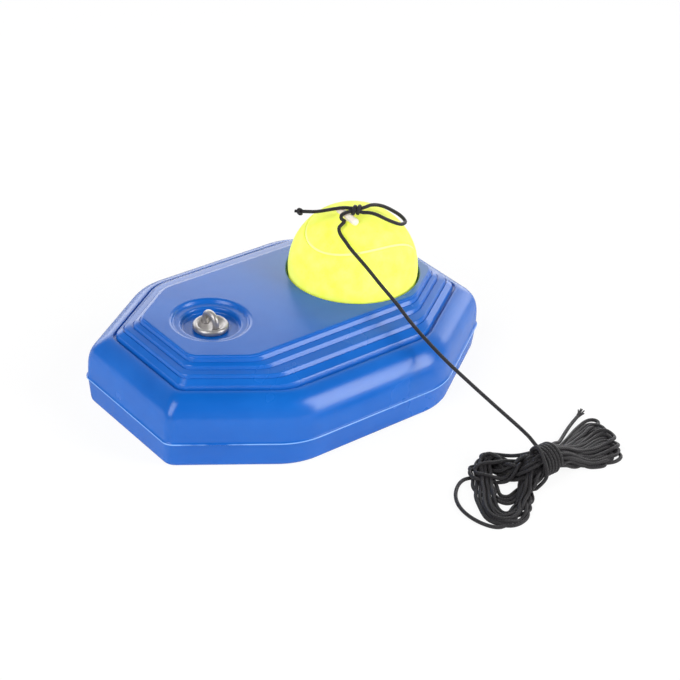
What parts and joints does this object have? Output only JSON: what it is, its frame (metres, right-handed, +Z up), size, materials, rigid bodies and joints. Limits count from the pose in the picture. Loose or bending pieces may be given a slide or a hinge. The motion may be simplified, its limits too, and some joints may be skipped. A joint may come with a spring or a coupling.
{
  "type": "tennis rebound trainer",
  "caption": "Tennis rebound trainer: weighted octagonal base with stepped top, cord eye and a bowl that seats a felt ball tied to an elastic cord wound in a hank.",
  "frame": {"origin": "middle of the base's underside, on the surface that it stands on", "axes": "+Z up, +X along the base from the cord eye to the ball, -Y towards the hank of cord"},
  "size_m": [0.1924, 0.2289, 0.0874],
  "materials": {
    "blue_polyethylene": "satin blow-moulded skin",
    "black_polyethylene": "satin",
    "nickel_plated_steel": "bright plated",
    "zinc_plated_steel": "dull plated",
    "yellow_felt": "napped felt",
    "natural_rubber": "matte",
    "pale_seam_rubber": "matte",
    "white_nylon": "satin",
    "black_braided_elastic": "braided"
  },
  "bodies": {
    "base": {"base_shell": "blue_polyethylene", "cup_washer": "nickel_plated_steel", "cord_eye": "nickel_plated_steel", "backing_plate": "zinc_plated_steel", "eye_nut_1": "zinc_plated_steel", "eye_nut_2": "zinc_plated_steel", "cord_hank": "black_braided_elastic", "cord_run": "black_braided_elastic"},
    "ball": {"ball_core": "natural_rubber", "felt_panel_1": "yellow_felt", "felt_panel_2": "yellow_felt", "ball_seam": "pale_seam_rubber", "cord_anchor": "white_nylon", "cord_knot": "black_braided_elastic", "cord_bow": "black_braided_elastic", "cord_tail": "black_braided_elastic", "cord_tail_bead": "black_braided_elastic"},
    "plug": {"fill_plug": "black_polyethylene", "plug_seal": "natural_rubber"}
  },
  "joints": [
    {"name": "ball_lift", "type": "slide", "parent": "base", "child": "ball", "axis": [0, 0, 1], "range_m": [0, 0.04], "deforming": ["cord_run"]},
    {"name": "plug_pull", "type": "slide", "parent": "base", "child": "plug", "axis": [0, 1, 0], "range_m": [0, 0.018]}
  ]
}
